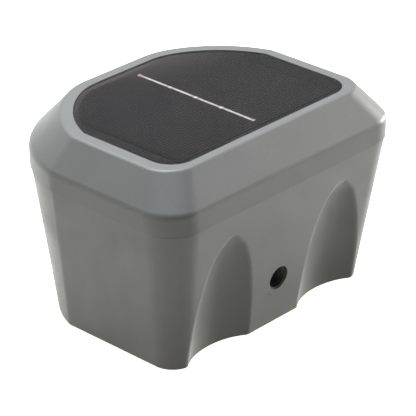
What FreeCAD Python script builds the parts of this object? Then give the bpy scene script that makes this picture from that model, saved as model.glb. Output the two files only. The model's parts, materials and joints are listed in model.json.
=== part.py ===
import FreeCAD, Part
import math
import os

# Solar fence energizer, every piece a closed solid in its own STEP file.
# Millimetres. +Z is up and the origin is under the middle of the case, on the ground.
# -Y is the flat face with the two finger scoops, +Y is the curved back with the terminals.

Vector = FreeCAD.Vector
LEFT_RIGHT = (-1, 1)

# ---- case: heights -------------------------------------------------------------------
BASE_TOP = 83.5
SEAM_GAP = 0.3
LID_BOTTOM = BASE_TOP + SEAM_GAP
SHOULDER_HEIGHT = 95.0
LID_TOP = 112.2
WALL = 3.0
RIM_WALL = 4.6
RIM_WALL_START = 74.0
RIM_WALL_FULL = 78.0
LID_WALL = 2.6
LID_PLATE = 5.0
FLOOR = 3.0
FOOT_ROUND = 1.2
SHOULDER_ROUND = 5.0
LID_TOP_ROUND = 2.6
LID_EDGE_ROUND = 0.4

# The base's rim carries a lip that the lid's skirt drops over, with a gasket round its foot.
LIP_INSET = 2.8
LIP_HEIGHT = 4.8
GASKET_INSET = 2.25
GASKET_HEIGHT = 2.5


# ---- case: plan outlines -------------------------------------------------------------
class Outline:
    """Plan of the case at one height: flat front, rounded front corners, straight sides,
    bowed flanks and a short flat back.  The ridge where side meets flank and the rear
    turn where flank meets back each have their own radius."""

    def __init__(self, front, half_width, corner, side_end, back_half, back, sag, ridge, rear):
        self.front = front
        self.half_width = half_width
        self.corner = corner
        self.back = back
        self.ridge = ridge
        self.rear = rear
        run_x = half_width - back_half
        run_y = back - side_end
        chord = math.hypot(run_x, run_y)
        self.flank_radius = (chord ** 2 / 4 + sag ** 2) / (2 * sag)
        reach = self.flank_radius - sag
        self.flank_x = (half_width + back_half) / 2 - reach * run_y / chord
        self.flank_y = (back + side_end) / 2 - reach * run_x / chord

    def inset(self, depth):
        """The same plan moved inwards by depth all round."""
        inner = Outline.__new__(Outline)
        inner.front = self.front - depth
        inner.half_width = self.half_width - depth
        inner.corner = max(self.corner - depth, 1.0)
        inner.back = self.back - depth
        inner.ridge = max(self.ridge - depth, 1.0)
        inner.rear = max(self.rear - depth, 1.0)
        inner.flank_radius = self.flank_radius - depth
        inner.flank_x = self.flank_x
        inner.flank_y = self.flank_y
        return inner

    def toward(self, other, share):
        """A plan part of the way from this one to another."""
        mixed = Outline.__new__(Outline)
        for name, value in vars(self).items():
            setattr(mixed, name, value + share * (getattr(other, name) - value))
        return mixed

    def wire(self, z):
        """The plan as a closed wire at height z, counter-clockwise from the front edge."""
        side_reach = self.flank_radius - self.ridge
        side_x = self.half_width - self.ridge
        side_y = self.flank_y + math.sqrt(side_reach ** 2 - (side_x - self.flank_x) ** 2)
        rear_reach = self.flank_radius - self.rear
        rear_y = self.back - self.rear
        rear_x = self.flank_x + math.sqrt(rear_reach ** 2 - (rear_y - self.flank_y) ** 2)
        flank = (self.flank_x, self.flank_y)
        start = math.atan2(side_y - self.flank_y, side_x - self.flank_x)
        end = math.atan2(rear_y - self.flank_y, rear_x - self.flank_x)
        corner = (self.half_width - self.corner, self.corner - self.front)
        arcs = [
            (corner, self.corner, -math.pi / 2, 0.0),
            ((side_x, side_y), self.ridge, 0.0, start),
            (flank, self.flank_radius, start, end),
            ((rear_x, rear_y), self.rear, end, math.pi / 2),
        ]
        right = [[arc_point(arc, share, z) for share in (0.0, 0.5, 1.0)] for arc in arcs]
        left = [[mirrored(p) for p in reversed(points)] for points in reversed(right)]
        edges = []
        loop = right + left
        for index, points in enumerate(loop):
            edges.append(Part.Arc(*points).toShape())
            ahead = loop[(index + 1) % len(loop)][0]
            if points[2].distanceToPoint(ahead) > 1e-6:
                edges.append(Part.makeLine(points[2], ahead))
        return Part.Wire(edges)


def arc_point(arc, share, z):
    """A point part of the way along a plan arc (centre, radius, start, end)."""
    (x, y), radius, start, end = arc
    angle = start + share * (end - start)
    return Vector(x + radius * math.cos(angle), y + radius * math.sin(angle), z)


def mirrored(point):
    """The point on the other side of the case."""
    return Vector(-point.x, point.y, point.z)


FOOT = Outline(57.9, 75.3, 12.9, 18.0, 24.0, 57.0, 10.2, 7.0, 7.0)
BASE_RIM = Outline(69.4, 87.3, 19.0, 14.9, 35.6, 69.4, 11.0, 12.0, 15.0)
SKIRT = BASE_RIM.inset(-0.6)
SHOULDER = Outline(69.4, 88.6, 19.2, 15.5, 37.0, 69.4, 10.7, 18.0, 35.0)
RIM = Outline(56.1, 75.7, 16.5, 10.9, 27.8, 56.3, 8.1, 9.0, 40.0)
WINDOW = Outline(51.6, 69.0, 13.7, 9.7, 26.8, 49.9, 6.8, 1.5, 38.0)

# ---- case: finger scoops in the front face -------------------------------------------
SCOOP_X = 42.3
SCOOP_HALF = 22.7
SCOOP_TOP = 69.9
SCOOP_DEPTH = 7.0
SCOOP_REACH = 20.0
SCOOP_EDGE = 3.5
BOWL_STEPS = 10
FRONT_LEAN = (BASE_RIM.front - FOOT.front) / BASE_TOP

# ---- front hole and its sleeve -------------------------------------------------------
HOLE_HEIGHT = 28.0
HOLE_RADIUS = 6.8
SLEEVE_BORE = 5.9
SLEEVE_FRONT = -60.4
SLEEVE_BACK = -54.0
SLEEVE_FLANGE = 1.8
HOLE_BOSS_END = -57.5
HOLE_BOSS_LENGTH = 3.5
HOLE_BOSS_WALL = 2.7

# ---- terminal recess in the back -----------------------------------------------------
RECESS_FLOOR = 51.0
RECESS_HALF = 36.0
RECESS_BOTTOM = 14.0
RECESS_TOP = 66.0
RECESS_CORNER = 6.0
TERMINAL_X = 20.0
TERMINAL_Z = 30.0
STUD_RADIUS = 3.0
STUD_INNER = 38.0
STUD_OUTER = 63.2
STUD_CHAMFER = 0.6
INNER_FACE = RECESS_FLOOR - WALL
BUSH_FLANGE = 1.4
BUSH_RADIUS = 8.4
BUSH_NECK = 3.6
NUT_FLATS = 10.0
CASE_NUT_THICK = 4.6
LOCK_NUT_THICK = 3.4
LUG_THICK = 1.0
CASE_NUT_Y = INNER_FACE - CASE_NUT_THICK
LUG_EYE_Y = CASE_NUT_Y - LUG_THICK
LOCK_NUT_Y = LUG_EYE_Y - LOCK_NUT_THICK
LUG_Y = LUG_EYE_Y + 0.2
LUG_RADIUS = 6.0
BARREL_RADIUS = 1.9
BARREL_BORE = 1.25
BARREL_DROP = 11.0
LEAD_DROP = 8.0
MOVING_GAP = 0.2
RUNNING_GAP = 0.08
WASHER_THICK = 1.2
WASHER_RADIUS = 7.0
KNOB_RADIUS = 9.0
KNOB_LENGTH = 11.0
KNOB_END = 1.4
KNOB_FLUTES = 8
FLUTE_RADIUS = 2.6
FLUTE_CENTRE = KNOB_RADIUS + 1.3

# ---- power switch and lamp in the recess ---------------------------------------------
CONTROL_Z = 52.0
SWITCH_X = -12.0
SWITCH_HALF = (9.5, 6.3)
BEZEL_OVERLAP = 1.3
BEZEL_THICK = 1.7
SWITCH_BACK = 38.0
SWITCH_TAB_X = 4.5
SWITCH_TAB_END = 34.5
ROCKER_TILT = 11.0
ROCKER_AXIS_Y = RECESS_FLOOR + 0.4
ROCKER_HALF = (7.4, 4.8)
ROCKER_PIN = 0.8
LED_X = 14.0
LED_RADIUS = 2.4
LED_BACK = 45.0
LED_LEG_X = 1.27
LED_DOME = RECESS_FLOOR + 2.2
CLIP_BORE = 2.5
CLIP_NECK = 3.2
CLIP_COLLAR = 4.4

# ---- lid screws ----------------------------------------------------------------------
SCREW_PLACES = [(68.0, -40.0), (63.0, 24.0)]
COLUMN_RADIUS = 5.5
COLUMN_TOP = 80.3
SCREW_WEB = 64.0
SCREW_WELL = 4.0
SCREW_LENGTH = 28.0
SCREW_SHANK = 1.7
SCREW_HEAD = (3.5, 2.9)
LID_BOSS_BOTTOM = COLUMN_TOP + 0.4
LID_BOSS_RADIUS = 4.2

# ---- battery -------------------------------------------------------------------------
BATTERY_SIZE = (102.0, 48.0, 70.0)
BATTERY_FRONT = -44.0
BATTERY_BOTTOM = 5.0
BATTERY_END = BATTERY_SIZE[0] / 2
TAB_Y = -10.0
TAB_HEIGHTS = (20.0, 60.0)
TAB_HALF = (2.4, 0.4)
TAB_REACH = 6.5
SLEEVE_HALF = (3.4, 1.8)
STRAP_Y = -34.0
STRAP_THICK = 1.5
STRAP_HALF = 6.0
POST_X = 57.5
POST_RADIUS = 4.0
BATTERY_LEAD_X = -69.0
BATTERY_LEAD_RADIUS = 1.05
POST_TOP = BATTERY_BOTTOM + BATTERY_SIZE[2] + 0.2

# ---- circuit board -------------------------------------------------------------------
BOARD_BOTTOM = 14.0
BOARD_THICK = 1.6
BOARD_TOP = BOARD_BOTTOM + BOARD_THICK
BOARD_HALF = 52.0
BOARD_FRONT = 8.0
BOARD_BACK = 44.0
BOARD_CHAMFER = (14.0, 16.0)
BOARD_HOLES = [(-47.0, 13.0), (-36.0, 38.0), (36.0, 38.0), (47.0, 11.5)]
HEADER_PLACE = (47.0, 19.0)
HEADER_HALF = (3.0, 4.5)
HEADER_HEIGHT = 3.0
HEADER_PITCH = 4.0
PLUG_TOP = 28.0
TRANSFORMER_PLACE = (-23.0, 21.5)
CORE_SIZE = (36.0, 13.0, 30.0)
CORE_STANDOFF = 0.4
CORE_LIMB = 5.0
COIL_HALF = (13.2, 11.8)
COIL_FLANGE = 1.4
CAPACITOR_LOW = (4.0, 10.0)
CAPACITOR_SIZE = (37.0, 22.0, 31.0)
CAN_X = -0.5
CAN_PLACES = ((15.0, 16.0), (27.0, 13.0))
CAN_RADIUS = 3.9
DEVICE_PLACE = (-50.5, 25.0)
CHIP_HALF = 5.0
CHIP_LEG_PITCH = 2.54
RESISTOR_START = 25.5
RESISTOR_PITCH = 2.9
RESISTOR_RADIUS = 1.1

# ---- solar panel stack, downwards from the window's top ------------------------------
WINDOW_TOP = LID_TOP - 0.15
WINDOW_THICK = 0.85
RIBBON_TOP = WINDOW_TOP - WINDOW_THICK - 0.05
RIBBON_THICK = 0.15
CELL_TOP = RIBBON_TOP - RIBBON_THICK
CELL_THICK = 0.2
BACKING_TOP = CELL_TOP - CELL_THICK
BACKING_THICK = 1.1
SEAL_THICK = 0.3
PANEL_SEAT = BACKING_TOP - BACKING_THICK - SEAL_THICK
JUNCTION_THICK = 3.0
JUNCTION_BOTTOM = BACKING_TOP - BACKING_THICK - JUNCTION_THICK
JUNCTION_X = 30.0
PANEL_LEAD_LEVEL = 98.0
CELL_SIDE = 120.0
CELL_FRONT = -47.5
CELL_BACK = 46.0
CELL_MARGIN = 3.0
INGOT_RADIUS = 74.0
INGOT_Y = -18.0
RIBBON_WIDTH = 2.0
RIBBON_X = 2.6
RIBBON_ENDS = (-42.1, 41.6)
PANEL_LEDGE = 5.0
PANEL_CLEARANCE = 0.2


# ---- general shapes ------------------------------------------------------------------
def block(low, high):
    """A box between two opposite corners."""
    size = [b - a for a, b in zip(low, high)]
    return Part.makeBox(*size, Vector(*low))


def rod(start, direction, length, radius):
    """A plain cylinder."""
    return Part.makeCylinder(radius, length, Vector(*start), Vector(*direction))


def ring(start, direction, length, radius, bore):
    """A cylinder with a hole through it."""
    return rod(start, direction, length, radius).cut(rod(start, direction, length, bore))


def edges_along(shape, axis):
    """The straight edges of a shape that run along one axis."""
    wanted = Vector(*axis)
    found = []
    for edge in shape.Edges:
        if not isinstance(edge.Curve, Part.Line):
            continue
        if abs(edge.tangentAt(edge.FirstParameter).dot(wanted)) > 0.999:
            found.append(edge)
    return found


def edges_at_height(shape, z):
    """The edges of a shape that lie in one level plane."""
    found = []
    for edge in shape.Edges:
        box = edge.BoundBox
        if abs(box.ZMin - z) < 1e-3 and abs(box.ZMax - z) < 1e-3:
            found.append(edge)
    return found


def rounded_block(low, high, radius, axis):
    """A box with its four edges along one axis rounded."""
    box = block(low, high)
    return box.makeFillet(radius, edges_along(box, axis))


def prism(points, direction):
    """A flat polygon pulled along a direction."""
    corners = [Vector(*p) for p in points]
    face = Part.Face(Part.makePolygon(corners + corners[:1]))
    return face.extrude(Vector(*direction))


def hexagon(centre, across_flats, thick, bore):
    """A hexagonal nut with its axis along Y."""
    x, y, z = centre
    radius = across_flats / math.sqrt(3)
    points = []
    for step in range(6):
        angle = math.radians(60 * step)
        points.append((x + radius * math.cos(angle), y, z + radius * math.sin(angle)))
    nut = prism(points, (0, thick, 0))
    return nut.cut(rod(centre, (0, 1, 0), thick, bore))


def bent_tube(points, bend, radius):
    """A round wire along straight runs joined by tangent bends."""
    corners = [Vector(*p) for p in points]
    edges = []
    here = corners[0]
    for before, corner, after in zip(corners, corners[1:], corners[2:]):
        back = (before - corner).normalize()
        ahead = (after - corner).normalize()
        half_angle = back.getAngle(ahead) / 2
        trim = bend / math.tan(half_angle)
        first = corner + back * trim
        last = corner + ahead * trim
        inward = (back + ahead).normalize()
        middle = corner + inward * (bend / math.sin(half_angle) - bend)
        edges.append(Part.makeLine(here, first))
        edges.append(Part.Arc(first, middle, last).toShape())
        here = last
    edges.append(Part.makeLine(here, corners[-1]))
    start = (corners[1] - corners[0]).normalize()
    profile = Part.Wire(Part.makeCircle(radius, corners[0], start))
    return Part.Wire(edges).makePipeShell([profile], True, False)


def slab(outline, bottom, top):
    """A plan outline pulled straight up between two heights."""
    return Part.Face(outline.wire(bottom)).extrude(Vector(0, 0, top - bottom))


def stack(levels):
    """A solid through (outline, height) pairs, straight-sided between them."""
    return Part.makeLoft([outline.wire(z) for outline, z in levels], True, True)


def scaled(shape, factors):
    """A shape stretched along the three axes from the origin."""
    matrix = FreeCAD.Matrix()
    matrix.scale(*factors)
    return shape.transformGeometry(matrix)


# ---- case ----------------------------------------------------------------------------
def base_plan(z):
    """The outline of the tapering base at one height."""
    return FOOT.toward(BASE_RIM, z / BASE_TOP)


def scoop_bowl(growth):
    """The hollow bowl of a scoop: level sections are ellipses that shrink with height, so that
    the leaning front face cuts it in an arch SCOOP_HALF to each side and SCOOP_TOP high."""
    offset = SCOOP_REACH - SCOOP_DEPTH
    spread = 1 - (offset / SCOOP_REACH) ** 2
    half_x = SCOOP_HALF / math.sqrt(spread)
    # The bowl's relative half-width squared is a quadratic in the height.
    square = (FRONT_LEAN / SCOOP_REACH) ** 2 - spread / SCOOP_TOP ** 2
    slope = -2 * offset * FRONT_LEAN / SCOOP_REACH ** 2
    tip = (-slope - math.sqrt(slope * slope - 4 * square)) / (2 * square)
    points = []
    for step in range(-1, BOWL_STEPS + 1):
        z = tip * math.sin(step * math.pi / (2 * BOWL_STEPS))
        width = math.sqrt(max(0.0, square * z * z + slope * z + 1))
        points.append(Vector(width, 0, z))
    curve = Part.BSplineCurve()
    curve.interpolate(points)
    low = Vector(0, 0, points[0].z)
    outline = [curve.toShape(), Part.makeLine(points[-1], low), Part.makeLine(low, points[0])]
    bowl = Part.Face(Part.Wire(outline)).revolve(Vector(), Vector(0, 0, 1), 360)
    bowl = scaled(bowl, (half_x + growth, SCOOP_REACH + growth, (tip + growth) / tip))
    bowl.translate(Vector(0, -FOOT.front - offset, 0))
    return bowl


def scoops(growth):
    """The two scoops that leave finger room, grown outwards for the inner wall."""
    pair = []
    for side in LEFT_RIGHT:
        bowl = scoop_bowl(growth)
        bowl.translate(Vector(side * SCOOP_X, 0, 0))
        pair.append(bowl)
    return pair


def recess(growth):
    """The terminal recess, grown by the wall for its inner skin."""
    low = (-RECESS_HALF - growth, RECESS_FLOOR - growth, RECESS_BOTTOM - growth)
    high = (RECESS_HALF + growth, BASE_RIM.back + 5, RECESS_TOP + growth)
    return rounded_block(low, high, RECESS_CORNER + growth, (0, 1, 0))


def on_front_face(edge):
    """Whether an edge is where a scoop meets the sloping front face."""
    middle = edge.valueAt((edge.FirstParameter + edge.LastParameter) / 2)
    box = edge.BoundBox
    if box.ZLength < 5 or box.ZMax > SCOOP_TOP + 2:
        return False
    return abs(middle.y + base_plan(middle.z).front) < 0.5


def base_skin():
    """The base as a solid block, with its scoops and rounded edges."""
    skin = stack([(FOOT, 0), (BASE_RIM, BASE_TOP)])
    for cutter in scoops(0):
        skin = skin.cut(cutter)
    skin = skin.makeFillet(SCOOP_EDGE, [e for e in skin.Edges if on_front_face(e)])
    return skin.makeFillet(FOOT_ROUND, edges_at_height(skin, 0))


def base_cavity():
    """The room inside the base, with thicker walls near the rim."""
    cavity = stack([
        (base_plan(FLOOR).inset(WALL), FLOOR),
        (base_plan(RIM_WALL_START).inset(WALL), RIM_WALL_START),
        (base_plan(RIM_WALL_FULL).inset(RIM_WALL), RIM_WALL_FULL),
        (BASE_RIM.inset(RIM_WALL), BASE_TOP),
        (BASE_RIM.inset(RIM_WALL), BASE_TOP + 10),
    ])
    for skin in scoops(WALL) + [recess(WALL)]:
        cavity = cavity.cut(skin)
    return cavity


def lid_screw_places():
    """Where the four lid screws stand."""
    return [(side * x, y) for x, y in SCREW_PLACES for side in LEFT_RIGHT]


def base_posts():
    """Columns for the lid screws, posts for the battery strap and the board."""
    posts = []
    for x, y in lid_screw_places():
        posts.append(rod((x, y, 1), (0, 0, 1), COLUMN_TOP - 1, COLUMN_RADIUS))
    for side in LEFT_RIGHT:
        posts.append(rod((side * POST_X, STRAP_Y, 1), (0, 0, 1), POST_TOP - 1, POST_RADIUS))
        wall = side * (BATTERY_END + 2.5)
        posts.append(block((wall - 1, -40, 1), (wall + 1, -18, 15)))
    for x, y in BOARD_HOLES:
        posts.append(rod((x, y, 1), (0, 0, 1), BOARD_BOTTOM - 1, 3.2))
    posts.append(block((-40, 5.0, 1), (40, 6.6, 12)))
    return posts


def base_openings():
    """Everything drilled or cut through the base's walls and posts."""
    cuts = [recess(0)]
    for x, y in lid_screw_places():
        cuts.append(rod((x, y, -1), (0, 0, 1), SCREW_WEB + 1, SCREW_WELL))
        cuts.append(rod((x, y, SCREW_WEB), (0, 0, 1), COLUMN_TOP, 2.0))
    for side in LEFT_RIGHT:
        cuts.append(rod((side * POST_X, STRAP_Y, POST_TOP - 12), (0, 0, 1), 14, 1.5))
        cuts.append(rod((side * TERMINAL_X, 40, TERMINAL_Z), (0, 1, 0), 12, 3.7))
    for x, y in BOARD_HOLES:
        cuts.append(rod((x, y, BOARD_BOTTOM - 8), (0, 0, 1), 10, 1.2))
    wide, high = (half + 0.2 for half in SWITCH_HALF)
    switch_low = (SWITCH_X - wide, INNER_FACE - 3, CONTROL_Z - high)
    cuts.append(block(switch_low, (SWITCH_X + wide, RECESS_FLOOR + 1, CONTROL_Z + high)))
    cuts.append(rod((LED_X, INNER_FACE - 3, CONTROL_Z), (0, 1, 0), 8, CLIP_NECK + 0.1))
    cuts.append(rod((0, -70, HOLE_HEIGHT), (0, 1, 0), 20, HOLE_RADIUS))
    return cuts


def base_housing():
    """The tapering lower case with its lip, scoops, recess, posts and screw columns."""
    rim_lip = slab(BASE_RIM.inset(LIP_INSET), BASE_TOP - 1, BASE_TOP + LIP_HEIGHT)
    body = base_skin().fuse(rim_lip).cut(base_cavity())
    boss_start = (0, HOLE_BOSS_END, HOLE_HEIGHT)
    hole_boss = rod(boss_start, (0, -1, 0), HOLE_BOSS_LENGTH, HOLE_RADIUS + HOLE_BOSS_WALL)
    body = body.fuse(base_posts() + [hole_boss])
    return body.cut(base_openings()).removeSplitter()


def lid_gasket():
    """A soft band round the foot of the base's lip, inside the lid's skirt."""
    band = slab(BASE_RIM.inset(GASKET_INSET), BASE_TOP, BASE_TOP + GASKET_HEIGHT)
    return band.cut(slab(BASE_RIM.inset(LIP_INSET), BASE_TOP - 1, BASE_TOP + GASKET_HEIGHT + 1))


def lid_skin():
    """The lid as a solid block: a short skirt, a shoulder and a sloping rim."""
    skin = stack([(SKIRT, LID_BOTTOM), (SHOULDER, SHOULDER_HEIGHT), (RIM, LID_TOP)])
    skin = skin.makeFillet(SHOULDER_ROUND, edges_at_height(skin, SHOULDER_HEIGHT))
    skin = skin.makeFillet(LID_TOP_ROUND, edges_at_height(skin, LID_TOP))
    return skin.makeFillet(LID_EDGE_ROUND, edges_at_height(skin, LID_BOTTOM))


def lid_cavity():
    """The hollow under the lid, following its shoulder."""
    ceiling = LID_TOP - LID_PLATE
    share = (ceiling - SHOULDER_HEIGHT) / (LID_TOP - SHOULDER_HEIGHT)
    return stack([
        (SKIRT.inset(LID_WALL), LID_BOTTOM - 1),
        (SHOULDER.inset(LID_WALL), SHOULDER_HEIGHT - 1),
        (SHOULDER.toward(RIM, share).inset(LID_WALL + 0.6), ceiling),
    ])


def lid_shell():
    """The hollow lid with the panel's opening and the four screw bosses."""
    shell = lid_skin().cut(lid_cavity())
    shell = shell.cut(slab(WINDOW, PANEL_SEAT, LID_TOP + 1))
    shell = shell.cut(slab(WINDOW.inset(PANEL_LEDGE), LID_TOP - 10, LID_TOP))
    bosses = []
    pilots = []
    for x, y in lid_screw_places():
        boss_length = LID_TOP - LID_PLATE + 0.5 - LID_BOSS_BOTTOM
        bosses.append(rod((x, y, LID_BOSS_BOTTOM), (0, 0, 1), boss_length, LID_BOSS_RADIUS))
        pilots.append(rod((x, y, LID_BOSS_BOTTOM), (0, 0, 1), 14, SCREW_SHANK + 0.1))
    return shell.fuse(bosses).cut(pilots).removeSplitter()


def lid_screws():
    """Pan-head screws that come up from under the case into the lid."""
    head_radius, head_height = SCREW_HEAD
    screws = []
    for x, y in lid_screw_places():
        head = rod((x, y, SCREW_WEB - head_height - 0.1), (0, 0, 1), head_height, head_radius)
        shank = rod((x, y, SCREW_WEB - 0.1), (0, 0, 1), SCREW_LENGTH, SCREW_SHANK)
        top = SCREW_WEB - head_height + 1.3
        slot_across = block((x - 2.2, y - 0.4, SCREW_WEB - 4), (x + 2.2, y + 0.4, top))
        slot_along = block((x - 0.4, y - 2.2, SCREW_WEB - 4), (x + 0.4, y + 2.2, top))
        screws.append(head.fuse(shank).cut([slot_across, slot_along]))
    return screws


# ---- solar panel ---------------------------------------------------------------------
def panel_window():
    """The clear cover let into the lid's top."""
    return slab(WINDOW.inset(PANEL_CLEARANCE), WINDOW_TOP - WINDOW_THICK, WINDOW_TOP)


def solar_cell():
    """A wafer cut to the window, keeping the round corners of the ingot at the back."""
    top = CELL_TOP - CELL_THICK
    wafer = block((-CELL_SIDE / 2, CELL_FRONT, top), (CELL_SIDE / 2, CELL_BACK, CELL_TOP))
    ingot = rod((0, INGOT_Y, top), (0, 0, 1), CELL_THICK, INGOT_RADIUS)
    return wafer.common(ingot).common(slab(WINDOW.inset(CELL_MARGIN), top, CELL_TOP))


def cell_ribbon():
    """The tinned strip soldered down the middle of the wafer."""
    front, back = RIBBON_ENDS
    low_x = RIBBON_X - RIBBON_WIDTH / 2
    return block((low_x, front, CELL_TOP), (low_x + RIBBON_WIDTH, back, RIBBON_TOP))


def panel_backing():
    """The stiff board that the wafer is laid on."""
    return slab(WINDOW.inset(PANEL_CLEARANCE), BACKING_TOP - BACKING_THICK, BACKING_TOP)


def panel_seal():
    """The bead of sealant between the backing and the lid's ledge."""
    bead = slab(WINDOW.inset(0.8), PANEL_SEAT, PANEL_SEAT + SEAL_THICK)
    return bead.cut(slab(WINDOW.inset(4.4), PANEL_SEAT - 1, PANEL_SEAT + 1))


def panel_junction():
    """The potted solder point under the panel."""
    middle = HEADER_PLACE[1]
    low = (JUNCTION_X - 6, middle - 6, JUNCTION_BOTTOM)
    high = (JUNCTION_X + 6, middle + 6, JUNCTION_BOTTOM + JUNCTION_THICK)
    return rounded_block(low, high, 2.0, (0, 0, 1))


def panel_lead(side):
    """One of the two wires from the panel down to its plug."""
    x, y = HEADER_PLACE
    lead_y = y + side * HEADER_PITCH / 2
    return bent_tube([
        (JUNCTION_X, lead_y, JUNCTION_BOTTOM),
        (JUNCTION_X, lead_y, PANEL_LEAD_LEVEL),
        (x, lead_y, PANEL_LEAD_LEVEL),
        (x, lead_y, PLUG_TOP - 1),
    ], 4.0, 0.9)


def panel_plug():
    """The plug on the panel leads, pushed down over the two pins of its header."""
    x, y = HEADER_PLACE
    wide, deep = HEADER_HALF
    bottom = BOARD_TOP + HEADER_HEIGHT + 0.3
    plug = rounded_block((x - wide, y - deep, bottom), (x + wide, y + deep, PLUG_TOP), 0.8, (0, 0, 1))
    for side in LEFT_RIGHT:
        pin_y = y + side * HEADER_PITCH / 2
        plug = plug.cut(rod((x, pin_y, BOARD_TOP), (0, 0, 1), 9.5, 0.6))
        plug = plug.cut(rod((x, pin_y, PLUG_TOP - 1.5), (0, 0, 1), 3, 0.95))
    return plug


def panel_header():
    """The board's two-pin header."""
    x, y = HEADER_PLACE
    wide, deep = HEADER_HALF
    header = block((x - wide, y - deep, BOARD_TOP), (x + wide, y + deep, BOARD_TOP + HEADER_HEIGHT))
    pins = []
    for side in LEFT_RIGHT:
        pins.append(rod((x, y + side * HEADER_PITCH / 2, BOARD_TOP), (0, 0, 1), 8.5, 0.5))
    return header.fuse(pins)


# ---- battery -------------------------------------------------------------------------
def battery_case():
    """The sealed battery, with a groove all round where its cover is welded on."""
    length, depth, height = BATTERY_SIZE
    low = (-length / 2, BATTERY_FRONT, BATTERY_BOTTOM)
    high = (length / 2, BATTERY_FRONT + depth, BATTERY_BOTTOM + height)
    case = rounded_block(low, high, 2.0, (1, 0, 0))
    groove = 0.6
    start = 5.0 - BATTERY_END
    cutter = block((start, low[1] - 5, low[2] - 5), (start + groove, high[1] + 5, high[2] + 5))
    core_low = (start - 1, low[1] + groove, low[2] + groove)
    core = block(core_low, (start + 2, high[1] - groove, high[2] - groove))
    return case.cut(cutter.cut(core))


def battery_tabs():
    """The battery's two blade terminals, out of its left end."""
    wide, thick = TAB_HALF
    tabs = []
    for z in TAB_HEIGHTS:
        low = (-BATTERY_END - TAB_REACH, TAB_Y - wide, z - thick)
        tabs.append(block(low, (-BATTERY_END, TAB_Y + wide, z + thick)))
    return tabs


def battery_pad():
    """The foam under the battery."""
    inset = 5.0
    front = BATTERY_FRONT + 3
    back = BATTERY_FRONT + BATTERY_SIZE[1] - 3
    return block((inset - BATTERY_END, front, FLOOR), (BATTERY_END - inset, back, BATTERY_BOTTOM))


def battery_strap():
    """A flat bar over the battery, held down at both ends."""
    half = POST_X + 4.4
    low = (-half, STRAP_Y - STRAP_HALF, POST_TOP)
    high = (half, STRAP_Y + STRAP_HALF, POST_TOP + STRAP_THICK)
    bar = rounded_block(low, high, 3.0, (0, 0, 1))
    holes = []
    for side in LEFT_RIGHT:
        holes.append(rod((side * POST_X, STRAP_Y, POST_TOP - 1), (0, 0, 1), 4, 1.9))
    return bar.cut(holes)


def strap_screws():
    """The two slotted screws that hold the strap down."""
    top = POST_TOP + STRAP_THICK
    screws = []
    for side in LEFT_RIGHT:
        x = side * POST_X
        head = rod((x, STRAP_Y, top), (0, 0, 1), 2.2, 3.2)
        shank = rod((x, STRAP_Y, top - 11), (0, 0, 1), 11, 1.45)
        slot = block((x - 2.4, STRAP_Y - 0.4, top + 1.2), (x + 2.4, STRAP_Y + 0.4, top + 3))
        screws.append(head.fuse(shank).cut(slot))
    return screws


def tab_sleeves():
    """Push-on sleeves over the battery's tabs."""
    wide, high = SLEEVE_HALF
    tab_wide, tab_thick = (half + 0.1 for half in TAB_HALF)
    start = -BATTERY_END - 1
    tab_end = -BATTERY_END - TAB_REACH - 0.1
    sleeves = []
    for z in TAB_HEIGHTS:
        low = (start - 12, TAB_Y - wide, z - high)
        sleeve = rounded_block(low, (start, TAB_Y + wide, z + high), 1.0, (1, 0, 0))
        pocket_low = (tab_end, TAB_Y - tab_wide, z - tab_thick)
        pocket = block(pocket_low, (start + 1, TAB_Y + tab_wide, z + tab_thick))
        wire_hole = rod((start - 13, TAB_Y, z), (1, 0, 0), 4, BATTERY_LEAD_RADIUS + 0.05)
        sleeves.append(sleeve.cut([pocket, wire_hole]))
    return sleeves


def battery_lead(tab_z, board_y):
    """A battery wire from its sleeve down to the board's left end."""
    board_x = 2.5 - BOARD_HALF
    level = BOARD_TOP + 6
    return bent_tube([
        (-BATTERY_END - 10, TAB_Y, tab_z),
        (BATTERY_LEAD_X, TAB_Y, tab_z),
        (BATTERY_LEAD_X, board_y, tab_z),
        (BATTERY_LEAD_X, board_y, level),
        (board_x, board_y, level),
        (board_x, board_y, BOARD_TOP),
    ], 2.6, BATTERY_LEAD_RADIUS)


# ---- circuit board -------------------------------------------------------------------
def circuit_board():
    """The board, with its back corners cut to clear the bowed case."""
    cut_x, cut_y = BOARD_CHAMFER
    half = BOARD_HALF
    points = [
        (-half, BOARD_FRONT, BOARD_BOTTOM),
        (half, BOARD_FRONT, BOARD_BOTTOM),
        (half, BOARD_BACK - cut_y, BOARD_BOTTOM),
        (half - cut_x, BOARD_BACK, BOARD_BOTTOM),
        (cut_x - half, BOARD_BACK, BOARD_BOTTOM),
        (-half, BOARD_BACK - cut_y, BOARD_BOTTOM),
    ]
    board = prism(points, (0, 0, BOARD_THICK))
    holes = [rod((x, y, BOARD_BOTTOM - 1), (0, 0, 1), 4, 1.6) for x, y in BOARD_HOLES]
    return board.cut(holes)


def board_screws():
    """The slotted screws at the board's corners."""
    screws = []
    for x, y in BOARD_HOLES:
        head = rod((x, y, BOARD_TOP), (0, 0, 1), 1.8, 2.6)
        shank = rod((x, y, BOARD_TOP - 7), (0, 0, 1), 7, 1.15)
        slot = block((x - 2, y - 0.3, BOARD_TOP + 0.9), (x + 2, y + 0.3, BOARD_TOP + 3))
        screws.append(head.fuse(shank).cut(slot))
    return screws


def transformer_core():
    """A laminated core with two windows."""
    x, y = TRANSFORMER_PLACE
    wide, deep, high = CORE_SIZE
    bottom = BOARD_TOP + CORE_STANDOFF
    core = block((x - wide / 2, y - deep / 2, bottom), (x + wide / 2, y + deep / 2, bottom + high))
    window_end = wide / 2 - CORE_LIMB + 0.5
    windows = []
    for side in LEFT_RIGHT:
        ends = sorted((x + side * CORE_LIMB, x + side * window_end))
        low = (ends[0], y - deep, bottom + CORE_LIMB)
        windows.append(block(low, (ends[1], y + deep, bottom + high - CORE_LIMB)))
    return core.cut(windows)


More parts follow.
